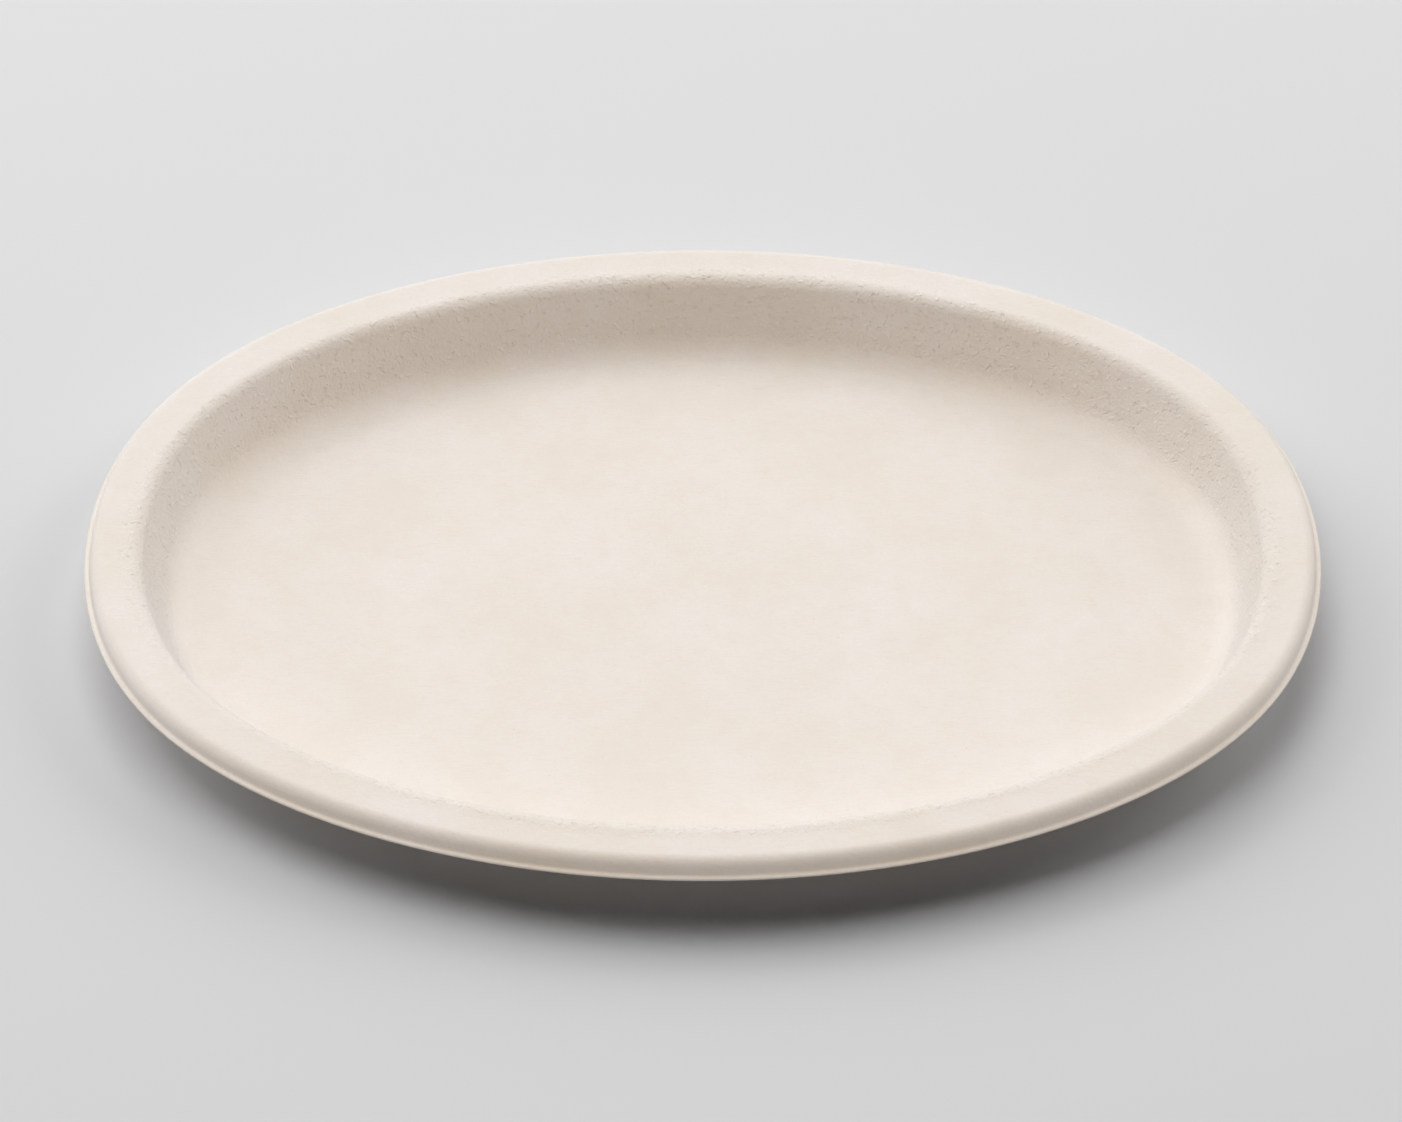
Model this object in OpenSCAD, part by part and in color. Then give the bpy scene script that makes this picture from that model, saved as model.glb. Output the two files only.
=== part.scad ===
// Oval plate pressed from bagasse pulp: one thin sheet with a flat floor, a steep wall, a level rim
// and a turned down edge that ends in a narrow lip. It stands on its floor at z = 0.

/* [Plate] */
// Length over the lip
plate_l = 260; // [200:1:320]
// Width over the lip
plate_w = 183; // [140:1:200]
// Height from the table to the top of the rim
plate_h = 17; // [13:0.5:24]
// Thickness of the pressed sheet
sheet_t = 0.7; // [0.5:0.05:1.1]
// How far the oval reaches on its diagonals, where 1 is a true ellipse
fullness = 1.021; // [1:0.001:1.03]

/* [Well] */
// Slope of the wall above level, in degrees
wall_slope = 71; // [55:1:80]
// Radius of the hollow between floor and wall
floor_r = 6.5; // [3:0.5:9]
// Radius of the shoulder between wall and rim
shoulder_r = 3.2; // [2:0.1:5]

/* [Rim] */
// Width of the level part of the rim
rim_w = 5.9; // [4:0.1:12]
// Radius of the roll where the rim turns down
roll_r = 2.5; // [1.5:0.1:3]
// Slope of the skirt below the roll, in degrees
skirt_slope = 80; // [70:1:85]
// Drop from the top of the rim to the top of the lip
rim_drop = 3.5; // [2.8:0.1:6]

/* [Lip] */
// Radius of the hollow between skirt and lip
lip_r = 0.5; // [0.4:0.1:1.2]
// Width of the flat lip
lip_w = 0.6; // [0.4:0.1:3]
// Radius of the lip's two outer corners
corner_r = 0.3; // [0.1:0.05:0.35]

/* [Hidden] */

// Number of sections around the oval, and of steps in each bend and rounded corner of a section
stations = 80;
bend_steps = 5;
lip_bend_steps = 4;
corner_steps = 3;

// The oval is known by its reach: the distance from the centre to the tangent line that faces a
// direction. A closer curve at the same inset all round has the same reach less the inset.
half_l = plate_l / 2;
half_w = plate_w / 2;
reach_at_45 = fullness * sqrt((half_l ^ 2 + half_w ^ 2) / 2);
corner_term = ((half_l + half_w) / 2 - reach_at_45) / 2;
stretch_term = (half_l - half_w) / 2;
mean_reach = reach_at_45 + corner_term;

function reach(dir) = mean_reach + stretch_term * cos(2 * dir) + corner_term * cos(4 * dir);
// How fast the reach changes with direction, for each radian
function reach_slope(dir) = -2 * stretch_term * sin(2 * dir) - 4 * corner_term * sin(4 * dir);

// Directions of the sections: closer together at the flat sides, so that all steps are alike in length
side_crowding = 11.5;
function station_dir(i) = let (turn = 360 * i / stations) turn + side_crowding * sin(2 * turn);

// Point of the oval that faces a direction, at an inset from the lip's edge
function oval_point(dir, inset) =
    (reach(dir) - inset) * [cos(dir), sin(dir)] + reach_slope(dir) * [-sin(dir), cos(dir)];

// Straight stretches of the section, from the heights that the bends leave
wall_rise = plate_h - sheet_t - (floor_r + shoulder_r) * (1 - cos(wall_slope));
wall_run = wall_rise / tan(wall_slope);
skirt_fall = rim_drop - (roll_r + lip_r) * (1 - cos(skirt_slope));
skirt_run = skirt_fall / tan(skirt_slope);

// Insets of the bends' centres
roll_in = lip_w + (roll_r + lip_r) * sin(skirt_slope) + skirt_run;
shoulder_in = roll_in + rim_w;
floor_in = shoulder_in + (floor_r + shoulder_r) * sin(wall_slope) + wall_run;
lip_z = plate_h - rim_drop;

// Points of an arc in the section, as distance outward and height
function arc(centre, radius, from, to, steps) =
    [for (i = [0:steps]) let (a = from + (to - from) * i / steps) centre + radius * [cos(a), sin(a)]];

// One face of the sheet from the floor to the lip, at a depth below the upper face
function sheet_face(depth) = concat(
    arc([-floor_in, sheet_t + floor_r], floor_r + depth, -90, wall_slope - 90, bend_steps),
    arc([-shoulder_in, plate_h - shoulder_r], shoulder_r - depth, 90 + wall_slope, 90, bend_steps),
    arc([-roll_in, plate_h - roll_r], roll_r - depth, 90, 90 - skirt_slope, bend_steps),
    arc([-lip_w, lip_z + lip_r], lip_r + depth, -90 - skirt_slope, -90, lip_bend_steps)
);

// The lip's edge: its upper corner, then its lower one, with a little flat left between them on a thin sheet
edge_flat = 0.05;
edge_r = min(corner_r, (sheet_t - edge_flat) / 2);
lip_edge = concat(
    arc([-edge_r, lip_z - edge_r], edge_r, 90, 0, corner_steps),
    arc([-edge_r, lip_z - sheet_t + edge_r], edge_r, 0, -90, corner_steps)
);

function reversed(list) = [for (i = [len(list) - 1:-1:0]) list[i]];

// The whole section, from the floor's upper face out over the rim and back under it
section = concat(sheet_face(0), lip_edge, reversed(sheet_face(sheet_t)));

// A closed skin over rings of equal length, with a flat face across the first ring and the last
module skin(rings) {
    ring_count = len(rings);
    ring_len = len(rings[0]);
    first_face = [for (i = [ring_len - 1:-1:0]) i];
    last_face = [for (i = [0:ring_len - 1]) (ring_count - 1) * ring_len + i];
    bands = [for (r = [0:ring_count - 2], i = [0:ring_len - 1])
        let (a = r * ring_len, b = a + ring_len, next = (i + 1) % ring_len) [a + i, a + next, b + next, b + i]];
    polyhedron([for (ring = rings) each ring], concat([first_face], bands, [last_face]));
}

// The pressed sheet: its section carried round the oval
module plate() {
    rings = [for (p = section) [for (i = [0:stations - 1])
        let (flat = oval_point(station_dir(i), -p[0])) [flat[0], flat[1], p[1]]]];
    color("linen") skin(rings);
}

plate();
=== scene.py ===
import math

import bpy
import numpy as np
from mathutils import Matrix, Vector


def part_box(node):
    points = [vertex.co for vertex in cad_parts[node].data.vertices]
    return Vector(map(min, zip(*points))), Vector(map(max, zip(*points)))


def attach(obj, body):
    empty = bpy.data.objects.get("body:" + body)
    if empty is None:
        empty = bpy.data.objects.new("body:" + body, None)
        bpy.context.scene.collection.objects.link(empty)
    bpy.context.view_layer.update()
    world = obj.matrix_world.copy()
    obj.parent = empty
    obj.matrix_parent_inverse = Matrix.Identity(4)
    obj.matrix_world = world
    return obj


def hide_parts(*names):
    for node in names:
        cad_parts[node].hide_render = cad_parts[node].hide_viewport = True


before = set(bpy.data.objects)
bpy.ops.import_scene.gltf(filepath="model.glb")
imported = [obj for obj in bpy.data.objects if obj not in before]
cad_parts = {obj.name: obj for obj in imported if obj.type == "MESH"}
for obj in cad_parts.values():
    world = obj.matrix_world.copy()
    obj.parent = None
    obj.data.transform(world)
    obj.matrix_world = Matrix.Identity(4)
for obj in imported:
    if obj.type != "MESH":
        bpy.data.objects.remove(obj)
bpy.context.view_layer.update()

# Lengths are in millimetres, which this turns into metres for the mesh and the material. The floor, the
# lights and the camera are given in metres.
MM = 0.001
SEED = 11

# The plate's overall size is the frame's, and the rest is what the solid was made with
node_low, node_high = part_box("plate")
PLATE_L, PLATE_W, PLATE_H = [(high - low) / MM for low, high in zip(node_low, node_high)]
SHEET_T = 0.7
FULLNESS = 1.021
WALL_SLOPE = math.radians(71)
FLOOR_R = 6.5
SHOULDER_R = 3.2
RIM_W = 5.9
ROLL_R = 2.5
SKIRT_SLOPE = math.radians(80)
RIM_DROP = 3.5
LIP_R = 0.5
LIP_W = 0.6
CORNER_R = 0.3

# Fineness of the mesh: sections round the plate, and steps along each stretch of the section
STATIONS = 400
FLOOR_STEPS = 26
FILLET_STEPS = 16
WALL_STEPS = 10
SHOULDER_STEPS = 14
RIM_STEPS = 9
ROLL_STEPS = 14
SKIRT_STEPS = 3
LIP_BEND_STEPS = 7
LIP_STEPS = 3
CORNER_STEPS = 5
# The sections lie closer together at the flat long sides, so that the steps round the plate are alike
SIDE_CROWDING = math.radians(11.5)


# The oval outline

# The oval is known by its reach: how far off the centre its tangent line lies that faces a direction
HALF_L, HALF_W = PLATE_L / 2, PLATE_W / 2
REACH_AT_45 = FULLNESS * math.sqrt((HALF_L**2 + HALF_W**2) / 2)
CORNER_TERM = ((HALF_L + HALF_W) / 2 - REACH_AT_45) / 2
STRETCH_TERM = (HALF_L - HALF_W) / 2
MEAN_REACH = REACH_AT_45 + CORNER_TERM


def oval_points(directions, inset):
    """Points of the oval that face the directions, moved in from the lip's edge by the inset."""
    reach = MEAN_REACH + STRETCH_TERM * np.cos(2 * directions) + CORNER_TERM * np.cos(4 * directions)
    slope = -2 * STRETCH_TERM * np.sin(2 * directions) - 4 * CORNER_TERM * np.sin(4 * directions)
    out = np.column_stack([np.cos(directions), np.sin(directions)])
    along = np.column_stack([-np.sin(directions), np.cos(directions)])
    return (reach - inset)[:, None] * out + slope[:, None] * along


# The sheet's section

WALL_RISE = PLATE_H - SHEET_T - (FLOOR_R + SHOULDER_R) * (1 - math.cos(WALL_SLOPE))
SKIRT_FALL = RIM_DROP - (ROLL_R + LIP_R) * (1 - math.cos(SKIRT_SLOPE))
ROLL_IN = LIP_W + (ROLL_R + LIP_R) * math.sin(SKIRT_SLOPE) + SKIRT_FALL / math.tan(SKIRT_SLOPE)
SHOULDER_IN = ROLL_IN + RIM_W
FLOOR_IN = SHOULDER_IN + (FLOOR_R + SHOULDER_R) * math.sin(WALL_SLOPE) + WALL_RISE / math.tan(WALL_SLOPE)
LIP_Z = PLATE_H - RIM_DROP


def arc(centre, radius, start, end, steps):
    """Points of an arc in the section, as inset and height."""
    angles = np.linspace(start, end, steps + 1)
    return np.column_stack([centre[0] - radius * np.cos(angles), centre[1] + radius * np.sin(angles)])


def between(first, last, steps):
    """Points inside a straight stretch, without its ends."""
    shares = np.arange(1, steps)[:, None] / steps
    return first + (last - first) * shares


def sheet_face(depth):
    """One face of the sheet from the floor's edge to the lip, at a depth below the upper face."""
    quarter = math.pi / 2
    fillet_centre = (FLOOR_IN, SHEET_T + FLOOR_R)
    shoulder_centre = (SHOULDER_IN, PLATE_H - SHOULDER_R)
    roll_centre = (ROLL_IN, PLATE_H - ROLL_R)
    lip_bend_centre = (LIP_W, LIP_Z + LIP_R)
    fillet = arc(fillet_centre, FLOOR_R + depth, -quarter, WALL_SLOPE - quarter, FILLET_STEPS)
    shoulder = arc(shoulder_centre, SHOULDER_R - depth, quarter + WALL_SLOPE, quarter, SHOULDER_STEPS)
    roll = arc(roll_centre, ROLL_R - depth, quarter, quarter - SKIRT_SLOPE, ROLL_STEPS)
    lip_bend = arc(lip_bend_centre, LIP_R + depth, -quarter - SKIRT_SLOPE, -quarter, LIP_BEND_STEPS)
    lip_end = np.array([CORNER_R, LIP_Z - depth])
    return np.vstack([
        fillet,
        between(fillet[-1], shoulder[0], WALL_STEPS),
        shoulder,
        between(shoulder[-1], roll[0], RIM_STEPS),
        roll,
        between(roll[-1], lip_bend[0], SKIRT_STEPS),
        lip_bend,
        between(lip_bend[-1], lip_end, LIP_STEPS),
    ])


def lip_edge():
    """The lip's edge, from its upper corner round to its lower one."""
    quarter = math.pi / 2
    upper = arc((CORNER_R, LIP_Z - CORNER_R), CORNER_R, quarter, 0, CORNER_STEPS)
    lower = arc((CORNER_R, LIP_Z - SHEET_T + CORNER_R), CORNER_R, 0, -quarter, CORNER_STEPS)
    return np.vstack([upper, lower])


def smooth_waves(directions, count, seed):
    """Sum of waves round the plate, weaker as they get shorter, the same in each run."""
    rng = np.random.default_rng(seed)
    total = np.zeros_like(directions)
    weight = 0
    for order in range(1, count + 1):
        share = 1 / math.sqrt(order)
        total += share * np.sin(order * directions + rng.uniform(0, 2 * math.pi))
        weight += share
    return total / weight * 2


# How far the trimmed lip wanders in from a true oval, in how many waves at most
LIP_WANDER = 0.05
LIP_WAVES = 40
# How far the rim dips from a true level, in how many waves at most
RIM_DIP = 0.08
RIM_WAVES = 7
# How far the middle of the floor lifts off the table
FLOOR_SWELL = 0.10


def waves_from_0_to_1(directions, count, seed):
    """The waves, cut off and moved to lie between 0 and 1."""
    return 0.5 + 0.5 * np.clip(smooth_waves(directions, count, seed), -1, 1)


def ring_points(directions, inset, height):
    """One ring of the sheet, with the small unevenness of pressed pulp."""
    ring = oval_points(directions, inset)
    edge_share = np.clip(1 - inset / ROLL_IN, 0, 1)
    wander = LIP_WANDER * edge_share * waves_from_0_to_1(directions, LIP_WAVES, SEED)
    normals = np.column_stack([np.cos(directions), np.sin(directions)])
    ring -= wander[:, None] * normals
    rim_share = np.clip(1 - inset / SHOULDER_IN, 0, 1) ** 0.5
    dip = RIM_DIP * rim_share * waves_from_0_to_1(directions, RIM_WAVES, SEED + 1)
    return np.column_stack([ring, height - dip])


def floor_rings(directions, edge_ring, height, towards_middle):
    """Rings across the floor between its edge and the middle, which lifts a little off the table."""
    rings = []
    for step in range(1, FLOOR_STEPS):
        share = 1 - step / FLOOR_STEPS
        swell = FLOOR_SWELL * (1 - share**2) ** 2
        flat = edge_ring[:, :2] * share
        rings.append(np.column_stack([flat, np.full(len(flat), height + swell)]))
    return rings if towards_middle else rings[::-1]


def plate_mesh():
    """Vertices, faces and the numbers of the underside's faces: rings closed by a fan at each end."""
    turns = np.arange(STATIONS) / STATIONS * 2 * math.pi
    directions = turns + SIDE_CROWDING * np.sin(2 * turns)
    upper = [ring_points(directions, p[0], p[1]) for p in sheet_face(0)]
    edge = [ring_points(directions, p[0], p[1]) for p in lip_edge()]
    under = [ring_points(directions, p[0], p[1]) for p in sheet_face(SHEET_T)[::-1]]
    floor_top = floor_rings(directions, upper[0], SHEET_T, False)
    floor_under = floor_rings(directions, under[-1], 0.0, True)
    rings = floor_top + upper + edge + under + floor_under
    middles = np.array([[0, 0, SHEET_T + FLOOR_SWELL], [0, 0, FLOOR_SWELL]])
    vertices = np.vstack(rings + [middles])
    quads = []
    around = np.arange(STATIONS)
    following = np.roll(around, -1)
    for row in range(len(rings) - 1):
        first, second = row * STATIONS, (row + 1) * STATIONS
        band = [first + around, second + around, second + following, first + following]
        quads.append(np.column_stack(band))
    top_middle = len(rings) * STATIONS
    last = (len(rings) - 1) * STATIONS
    top_fan = np.column_stack([np.full(STATIONS, top_middle), around, following])
    under_fan = np.column_stack([np.full(STATIONS, top_middle + 1), last + following, last + around])
    faces = [list(map(int, f)) for f in np.vstack(quads)]
    faces += [list(map(int, f)) for f in top_fan]
    faces += [list(map(int, f)) for f in under_fan]
    first_under_row = len(floor_top) + len(upper) + len(edge)
    under_quads = range(first_under_row * STATIONS, (len(rings) - 1) * STATIONS)
    under_triangles = range(len(faces) - STATIONS, len(faces))
    return vertices * MM, faces, sorted([*under_quads, *under_triangles])


# Node helpers

class Nodes:
    """Adds nodes to a material and joins them with short calls."""

    def __init__(self, material):
        material.use_nodes = True
        self.tree = material.node_tree
        self.tree.nodes.clear()

    def add(self, kind, **settings):
        node = self.tree.nodes.new(kind)
        for name, value in settings.items():
            setattr(node, name, value)
        return node

    def put(self, socket, value):
        if isinstance(value, bpy.types.NodeSocket):
            self.tree.links.new(value, socket)
        else:
            socket.default_value = value

    def math(self, operation, first, second=0.0):
        node = self.add("ShaderNodeMath", operation=operation)
        self.put(node.inputs[0], first)
        self.put(node.inputs[1], second)
        return node.outputs[0]

    def apart(self, kind, value):
        """The three parts of a vector or a colour."""
        node = self.add(kind)
        self.put(node.inputs[0], value)
        return node.outputs

    def mapped(self, coords, scale, turn):
        node = self.add("ShaderNodeMapping")
        self.put(node.inputs["Vector"], coords)
        node.inputs["Scale"].default_value = scale
        node.inputs["Rotation"].default_value = turn
        return node.outputs[0]

    def noise(self, coords, scale, detail, roughness=0.5):
        node = self.add("ShaderNodeTexNoise")
        self.put(node.inputs["Vector"], coords)
        node.inputs["Scale"].default_value = scale
        node.inputs["Detail"].default_value = detail
        node.inputs["Roughness"].default_value = roughness
        return node.outputs["Fac"]

    def ranged(self, value, from_low, from_high, to_low, to_high, smooth=False):
        node = self.add("ShaderNodeMapRange", interpolation_type="SMOOTHSTEP" if smooth else "LINEAR")
        for socket, number in zip(node.inputs, (value, from_low, from_high, to_low, to_high)):
            self.put(socket, number)
        return node.outputs[0]

    def mix(self, share, first, second):
        """A blend of two colours, on the mix node's colour sockets."""
        share_socket, first_socket, second_socket, result = 0, 6, 7, 2
        node = self.add("ShaderNodeMix", data_type="RGBA")
        self.put(node.inputs[share_socket], share)
        self.put(node.inputs[first_socket], first)
        self.put(node.inputs[second_socket], second)
        return node.outputs[result]

    def bump(self, height, depth, before=None):
        """Relief of this depth in millimetres, on top of the relief before it."""
        node = self.add("ShaderNodeBump")
        node.inputs["Strength"].default_value = 1.0
        node.inputs["Distance"].default_value = depth * MM
        self.put(node.inputs["Height"], height)
        if before is not None:
            self.put(node.inputs["Normal"], before)
        return node.outputs[0]


def per_mm(size):
    """Texture scale for a feature of this size in millimetres."""
    return 1 / (size * MM)


# Pulp colours, linear
PULP = (0.776, 0.748, 0.710, 1)
PULP_LIGHT = (0.800, 0.780, 0.768, 1)
PULP_DARK = (0.738, 0.692, 0.644, 1)
FIBRE = (0.70, 0.60, 0.48, 1)
SPECK = (0.36, 0.27, 0.19, 1)
# The next two colours are painted shade in the sunken spots and painted highlight on the raised spots, laid
# over their relief
PIT_SHADE = (0.50, 0.42, 0.34, 1)
LUMP_HIGHLIGHT = (0.95, 0.93, 0.90, 1)

# Sizes of the pulp's marks
BLOTCH_SIZE = 26
SWELL_SIZE = 9
CLOUD_SIZE = 5
SPECK_SPACING = 2.6
SPOT_SIZE = 1.15
GRAIN_SIZE = 0.7
FIBRE_LENGTH, FIBRE_WIDTH = 3.2, 0.22
SCREEN_PITCH = 0.85

# The fibres lie in three directions, each given as turns about the three axes
FIBRE_TURNS = [(0.2 * turn, 0.1, turn) for turn in (0.3, 1.35, 2.4)]

# Depths of the relief
SWELL_DEPTH = 0.16
CLOUD_DEPTH = 0.24
GRAIN_DEPTH = 0.10
SPOT_DEPTH = 0.11
SCREEN_DEPTH = 0.05

# How strongly each mark tints the pulp at most
CLOUD_TINT = 0.24
GRAIN_TINT = 0.30
FIBRE_TINT = 0.16
SPECK_TINT = 0.35
# The next two are the strongest painted shade in sunken spots and the strongest painted highlight on raised
# spots
PIT_SHADE_TINT = 0.10
LUMP_HIGHLIGHT_TINT = 0.20

# A noise lies round a half: at the first value a mark begins, and at the second it is whole
BLOTCH_RANGE = (0.35, 0.65)
CLOUD_RANGE = (0.42, 0.72)
GRAIN_RANGE = (0.35, 0.70)
FIBRE_RANGE = (0.62, 0.80)
LUMP_RANGE = (0.66, 0.80)
PIT_RANGE = (0.34, 0.20)

# The wall's marks come in above the floor between these heights
WALL_FOOT = (1.2, 5.0)
# They go out at the rim between these shares of the way to the shoulder, squared
WALL_TOP = (0.99, 1.06)
# How clear the spots, clouds and grain are off the wall, and how clear the grain is on it
SPOTS_OFF_WALL = 0.12
CLOUDS_OFF_WALL = 0.4
GRAIN_OFF_WALL = 0.5
GRAIN_ON_WALL = 1.6

# The pulp's shine, and its roughness at a low and at a high value of the grain
PULP_SHINE = 0.28
SMOOTHER_AND_ROUGHER = (0.82, 0.96)
LOW_AND_HIGH_GRAIN = (0.3, 0.7)

# Radius of the largest speck as a share of the spacing, the share of cells that hold none, and the
# tint of the faintest speck
SPECK_RADIUS = 0.060
NO_SPECK = 0.55
FAINTEST_SPECK = 0.05


def wall_share(nodes, coords):
    """One on the well's wall, where the mould presses least, and none on the floor and the rim."""
    x, y, z = nodes.apart("ShaderNodeSeparateXYZ", coords)
    along = nodes.math("DIVIDE", x, (HALF_L - SHOULDER_IN) * MM)
    across = nodes.math("DIVIDE", y, (HALF_W - SHOULDER_IN) * MM)
    outward = nodes.math("ADD", nodes.math("MULTIPLY", along, along), nodes.math("MULTIPLY", across, across))
    inside_rim = nodes.ranged(outward, *WALL_TOP, 1.0, 0.0, smooth=True)
    above_floor = nodes.ranged(z, WALL_FOOT[0] * MM, WALL_FOOT[1] * MM, 0.0, 1.0, smooth=True)
    return nodes.math("MULTIPLY", inside_rim, above_floor)


def raised_and_sunken_spots(nodes, coords, on_wall):
    """Lumps and holes in the pulp, between -1 and 1: clear on the wall and faint elsewhere. They give
    relief, and also the painted highlight on the lumps and the painted shade in the holes.
    """
    spots = nodes.noise(coords, per_mm(SPOT_SIZE), detail=0)
    lumps = nodes.ranged(spots, *LUMP_RANGE, 0.0, 1.0, smooth=True)
    pits = nodes.ranged(spots, *PIT_RANGE, 0.0, 1.0, smooth=True)
    clearness = nodes.ranged(on_wall, 0.0, 1.0, SPOTS_OFF_WALL, 1.0)
    return nodes.math("MULTIPLY", nodes.math("SUBTRACT", lumps, pits), clearness)


def fibre_lines(nodes, coords):
    """Short straight fibres in three directions: one on a fibre and none beside it."""
    scale = (per_mm(FIBRE_LENGTH), per_mm(FIBRE_WIDTH), per_mm(FIBRE_WIDTH))
    streaks = []
    for turns in FIBRE_TURNS:
        stretched = nodes.mapped(coords, scale, turns)
        streaks.append(nodes.noise(stretched, 1.0, detail=0))
    strongest = nodes.math("MAXIMUM", nodes.math("MAXIMUM", streaks[0], streaks[1]), streaks[2])
    return nodes.ranged(strongest, *FIBRE_RANGE, 0.0, 1.0, smooth=True)


def speck_strength(nodes, coords):
    """A few small dark specks, each of its own size and strength."""
    cells = nodes.add("ShaderNodeTexVoronoi", feature="F1")
    cells.inputs["Scale"].default_value = per_mm(SPECK_SPACING)
    nodes.put(cells.inputs["Vector"], coords)
    chances = nodes.apart("ShaderNodeSeparateColor", cells.outputs["Color"])
    radius = nodes.ranged(chances[0], NO_SPECK, 1.0, 0.0, SPECK_RADIUS)
    inside = nodes.math("LESS_THAN", cells.outputs["Distance"], radius)
    return nodes.math("MULTIPLY", inside, nodes.ranged(chances[1], 0.0, 1.0, FAINTEST_SPECK, SPECK_TINT))


def screen_weave(nodes, coords):
    """The wire screen's marks: crossed waves along the length and the width."""
    place = nodes.apart("ShaderNodeSeparateXYZ", coords)
    waves_per_metre = per_mm(SCREEN_PITCH) * 2 * math.pi
    wires = [nodes.math("SINE", nodes.math("MULTIPLY", place[axis], waves_per_metre)) for axis in (0, 1)]
    return nodes.math("MULTIPLY", wires[0], wires[1])


def pulp_material(name, screen_marks):
    """Matt pressed bagasse: soft mottling, fine fibres, a few specks, painted shade in sunken spots and
    painted highlight on raised ones, and screen marks on the back.
    """
    material = bpy.data.materials.new(name)
    nodes = Nodes(material)
    coords = nodes.add("ShaderNodeTexCoord").outputs["Object"]
    blotches = nodes.noise(coords, per_mm(BLOTCH_SIZE), detail=1)
    swells = nodes.noise(coords, per_mm(SWELL_SIZE), detail=0)
    clouds = nodes.noise(coords, per_mm(CLOUD_SIZE), detail=1, roughness=0.6)
    grain = nodes.noise(coords, per_mm(GRAIN_SIZE), detail=1, roughness=0.65)
    fibres = fibre_lines(nodes, coords)
    specks = speck_strength(nodes, coords)
    on_wall = wall_share(nodes, coords)
    spots = raised_and_sunken_spots(nodes, coords, on_wall)

    colour = nodes.mix(nodes.ranged(blotches, *BLOTCH_RANGE, 0.0, 1.0), PULP, PULP_LIGHT)
    colour = nodes.mix(nodes.ranged(clouds, *CLOUD_RANGE, 0.0, CLOUD_TINT), colour, PULP_DARK)
    colour = nodes.mix(nodes.ranged(grain, *GRAIN_RANGE, 0.0, GRAIN_TINT), colour, PULP_DARK)
    colour = nodes.mix(nodes.math("MULTIPLY", fibres, FIBRE_TINT), colour, FIBRE)
    colour = nodes.mix(specks, colour, SPECK)
    # Painted shade in the sunken spots and painted highlight on the raised ones, following the spots' relief
    colour = nodes.mix(nodes.ranged(spots, 0.0, -1.0, 0.0, PIT_SHADE_TINT), colour, PIT_SHADE)
    colour = nodes.mix(nodes.ranged(spots, 0.0, 1.0, 0.0, LUMP_HIGHLIGHT_TINT), colour, LUMP_HIGHLIGHT)

    cloud_clearness = nodes.ranged(on_wall, 0.0, 1.0, CLOUDS_OFF_WALL, 1.0)
    grain_clearness = nodes.ranged(on_wall, 0.0, 1.0, GRAIN_OFF_WALL, GRAIN_ON_WALL)
    cloud_height = nodes.math("MULTIPLY", clouds, cloud_clearness)
    grain_height = nodes.math("MULTIPLY", grain, grain_clearness)
    normal = nodes.bump(swells, SWELL_DEPTH)
    normal = nodes.bump(cloud_height, CLOUD_DEPTH, before=normal)
    normal = nodes.bump(grain_height, GRAIN_DEPTH, before=normal)
    normal = nodes.bump(spots, SPOT_DEPTH, before=normal)
    if screen_marks:
        normal = nodes.bump(screen_weave(nodes, coords), SCREEN_DEPTH, before=normal)

    shader = nodes.add("ShaderNodeBsdfPrincipled")
    nodes.put(shader.inputs["Base Color"], colour)
    roughness = nodes.ranged(grain, *LOW_AND_HIGH_GRAIN, *SMOOTHER_AND_ROUGHER)
    nodes.put(shader.inputs["Roughness"], roughness)
    shader.inputs["Specular IOR Level"].default_value = PULP_SHINE
    nodes.put(shader.inputs["Normal"], normal)
    output = nodes.add("ShaderNodeOutputMaterial")
    nodes.put(output.inputs["Surface"], shader.outputs[0])
    return material


def make_plate():
    """The pressed sheet, which stands for the solid."""
    vertices, faces, under_faces = plate_mesh()
    mesh = bpy.data.meshes.new("plate_sheet")
    mesh.from_pydata(vertices.tolist(), [], faces)
    mesh.materials.append(pulp_material("pulp_face", screen_marks=False))
    mesh.materials.append(pulp_material("pulp_back", screen_marks=True))
    slots = np.zeros(len(faces), dtype=np.int32)
    slots[under_faces] = 1
    mesh.polygons.foreach_set("material_index", slots)
    mesh.polygons.foreach_set("use_smooth", np.ones(len(faces), dtype=bool))
    mesh.update()
    plate = bpy.data.objects.new("plate_sheet", mesh)
    bpy.context.collection.objects.link(plate)
    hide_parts("plate")
    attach(plate, "root")
    return plate


# Floor, light and camera, in metres

FLOOR_HALF = 6.0
FLOOR_COLOUR = (0.940, 0.940, 0.946, 1)
FLOOR_ROUGHNESS = 0.9
FLOOR_SHINE = 0.1


def make_floor():
    """A plain pale studio floor under the plate."""
    half = FLOOR_HALF
    mesh = bpy.data.meshes.new("studio_floor")
    corners = [(-half, -half, 0), (half, -half, 0), (half, half, 0), (-half, half, 0)]
    mesh.from_pydata(corners, [], [(0, 1, 2, 3)])
    material = bpy.data.materials.new("studio_floor")
    nodes = Nodes(material)
    shader = nodes.add("ShaderNodeBsdfPrincipled")
    shader.inputs["Base Color"].default_value = FLOOR_COLOUR
    shader.inputs["Roughness"].default_value = FLOOR_ROUGHNESS
    shader.inputs["Specular IOR Level"].default_value = FLOOR_SHINE
    output = nodes.add("ShaderNodeOutputMaterial")
    nodes.put(output.inputs["Surface"], shader.outputs[0])
    mesh.materials.append(material)
    floor = bpy.data.objects.new("studio_floor", mesh)
    bpy.context.collection.objects.link(floor)


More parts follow.
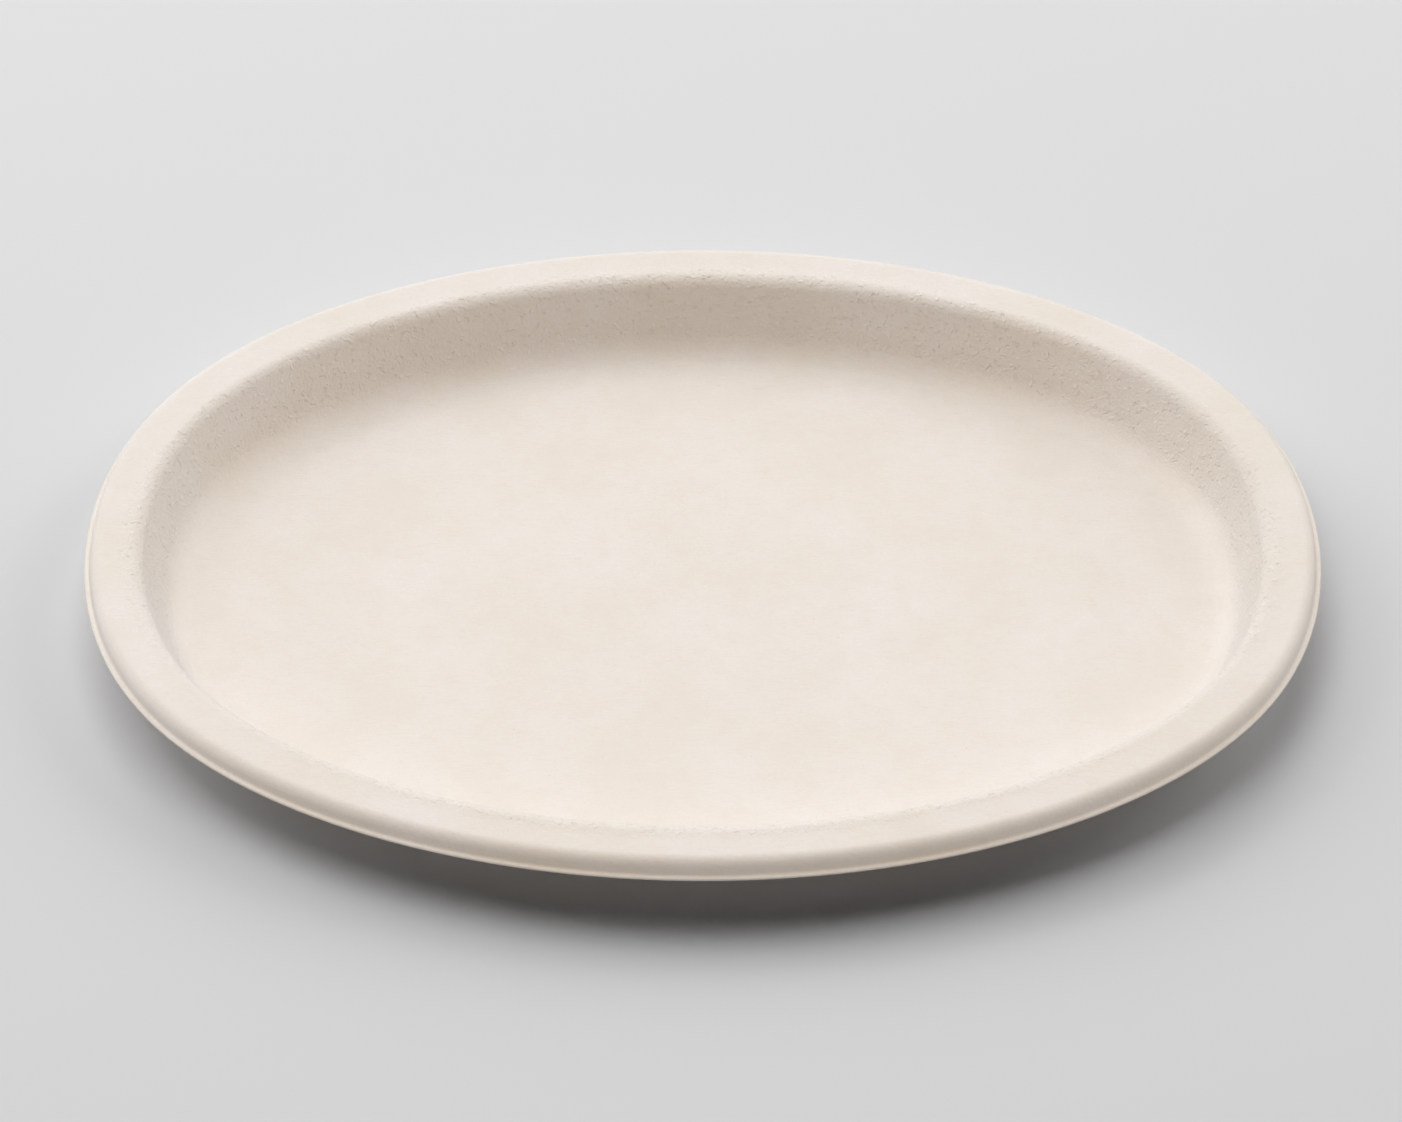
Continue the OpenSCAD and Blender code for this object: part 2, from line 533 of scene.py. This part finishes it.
def make_light(name, place, size, power, colour):
    """A square soft box that faces the plate."""
    data = bpy.data.lights.new(name, "AREA")
    data.shape = "SQUARE"
    data.size = size
    data.energy = power
    data.color = colour
    light = bpy.data.objects.new(name, data)
    light.location = place
    light.rotation_euler = (-place).to_track_quat("-Z", "Y").to_euler()
    bpy.context.collection.objects.link(light)
    return light


def darken_world():
    """No light from the room, so that the soft boxes give it all."""
    world = bpy.data.worlds.new("studio_air")
    world.use_nodes = True
    world.node_tree.nodes["Background"].inputs["Strength"].default_value = 0.0
    bpy.context.scene.world = world


# The camera as it was worked out from the plate's outline in the photograph
IMAGE_W = 1402
FOCAL_PX = 6000
# The sensor is given in millimetres, as the camera wants it
SENSOR_W = 36.0
CAMERA_ELEVATION = math.radians(46)
CAMERA_DISTANCE = 1.256
CAMERA_TARGET = Vector((-0.00035, -0.00646, PLATE_H * MM))


def make_camera():
    """A long lens, looking down at the plate's long side."""
    data = bpy.data.cameras.new("camera")
    data.sensor_width = SENSOR_W
    data.lens = FOCAL_PX / IMAGE_W * SENSOR_W
    data.clip_start, data.clip_end = 0.05, 50
    camera = bpy.data.objects.new("camera", data)
    back = Vector((0, -math.cos(CAMERA_ELEVATION), math.sin(CAMERA_ELEVATION)))
    camera.location = CAMERA_TARGET + back * CAMERA_DISTANCE
    camera.rotation_euler = (-back).to_track_quat("-Z", "Y").to_euler()
    bpy.context.collection.objects.link(camera)
    bpy.context.scene.camera = camera


WHITE = (1.0, 1.0, 1.0)
PALE = (1.0, 0.94, 0.88)
WARM = (1.0, 0.83, 0.66)
# Each soft box: name, degrees above level, degrees round from the plate's right, size, power and colour
SOFT_BOXES = [
    ("overhead", 67, 120, 2.24, 30.7, WHITE),
    ("back_middle", 34, 90, 1.44, 9.7, WHITE),
    ("back_left", 30, 151, 1.44, 17.4, WHITE),
    ("back_right", 30, 30, 1.44, 16.4, WHITE),
    ("front_low_fill", 15, 270, 1.44, 3.4, WARM),
    ("front_high_fill", 62, 270, 1.44, 19.6, WARM),
    ("left_fill", 13, 180, 0.96, 6.6, PALE),
    ("right_fill", 13, 0, 0.96, 8.0, PALE),
]
BOX_DISTANCE = 2.4


def make_lights(plate):
    """A wide box overhead, three low ones behind, and weak warm fills that light the plate alone."""
    lit = bpy.data.collections.new("lit_by_fill")
    lit.objects.link(plate)
    for name, height, turn, size, power, colour in SOFT_BOXES:
        up, round_by = math.radians(height), math.radians(turn)
        way = Vector((math.cos(up) * math.cos(round_by), math.cos(up) * math.sin(round_by), math.sin(up)))
        light = make_light(name, way * BOX_DISTANCE, size, power, colour)
        if name.endswith("fill"):
            light.light_linking.receiver_collection = lit


make_camera()
plate_sheet = make_plate()
make_floor()
darken_world()
make_lights(plate_sheet)
bpy.context.scene.view_settings.view_transform = "Standard"
